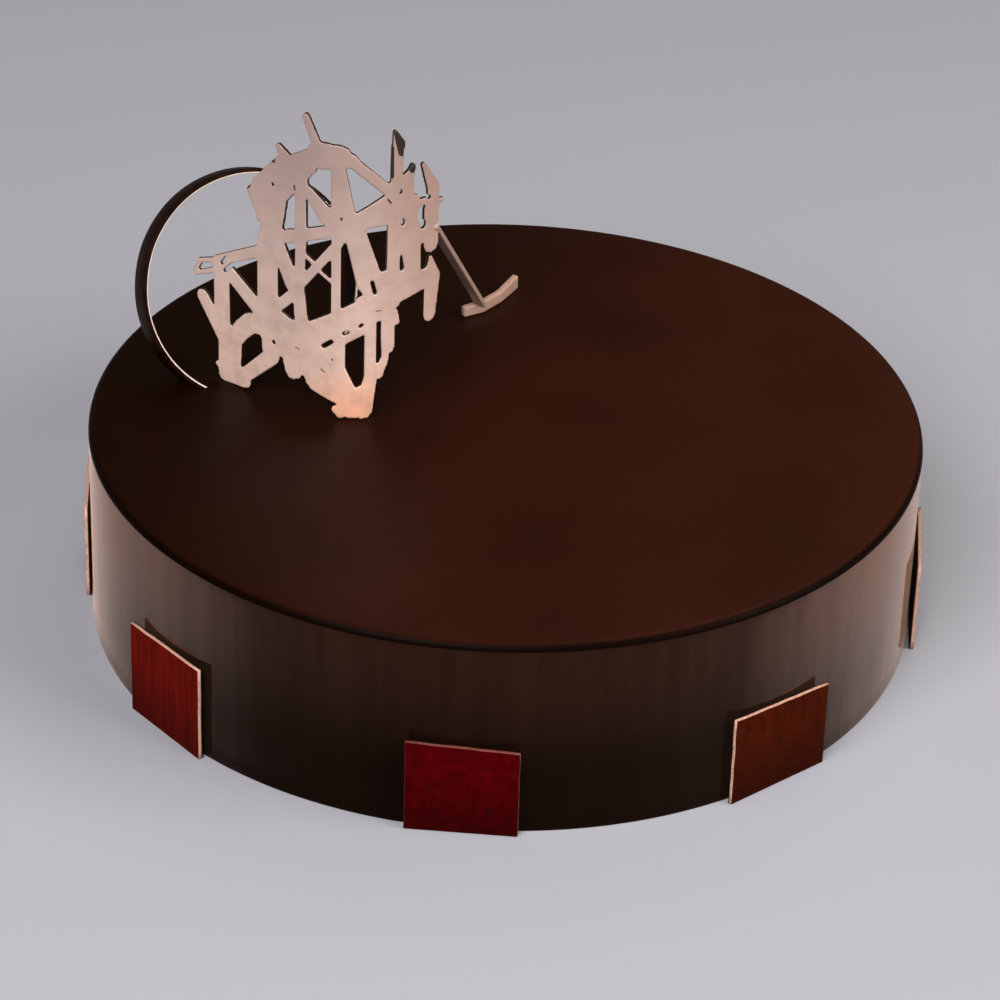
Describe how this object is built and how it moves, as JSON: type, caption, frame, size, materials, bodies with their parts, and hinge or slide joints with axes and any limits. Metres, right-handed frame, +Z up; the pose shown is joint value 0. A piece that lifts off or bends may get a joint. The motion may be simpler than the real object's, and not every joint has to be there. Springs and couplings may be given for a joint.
{
  "type": "sachertorte cake",
  "caption": "Round uncut chocolate-glazed torte with upright tinted chocolate plaques around its side, a standing chocolate ribbon ring and a bent piped chocolate lattice on top.",
  "frame": {"origin": "centre of the cake's flat underside", "axes": "+Z up out of the cake's top; -Y towards the side that the lattice's rounded front faces; +X to the right of someone looking at that side"},
  "size_m": [0.2463, 0.2456, 0.1554],
  "materials": {
    "glaze": "mirror-smooth poured dark chocolate glaze",
    "ribbon": "satin dark chocolate set on a strip",
    "lattice": "pearl-dusted satin chocolate",
    "plaque_bright": "glossy red-tinted chocolate",
    "plaque_deep": "glossy deep red-tinted chocolate",
    "plaque_brown": "glossy brown-red tinted chocolate"
  },
  "bodies": {
    "root": {"cake": "glaze", "ring": "ribbon", "lattice": "lattice", "plaque_front": "plaque_deep", "plaque_front_right": "plaque_brown", "plaque_right": "plaque_brown", "plaque_back_right": "plaque_deep", "plaque_back": "plaque_deep", "plaque_back_left": "plaque_bright", "plaque_left": "plaque_bright", "plaque_front_left": "plaque_bright"}
  },
  "joints": []
}
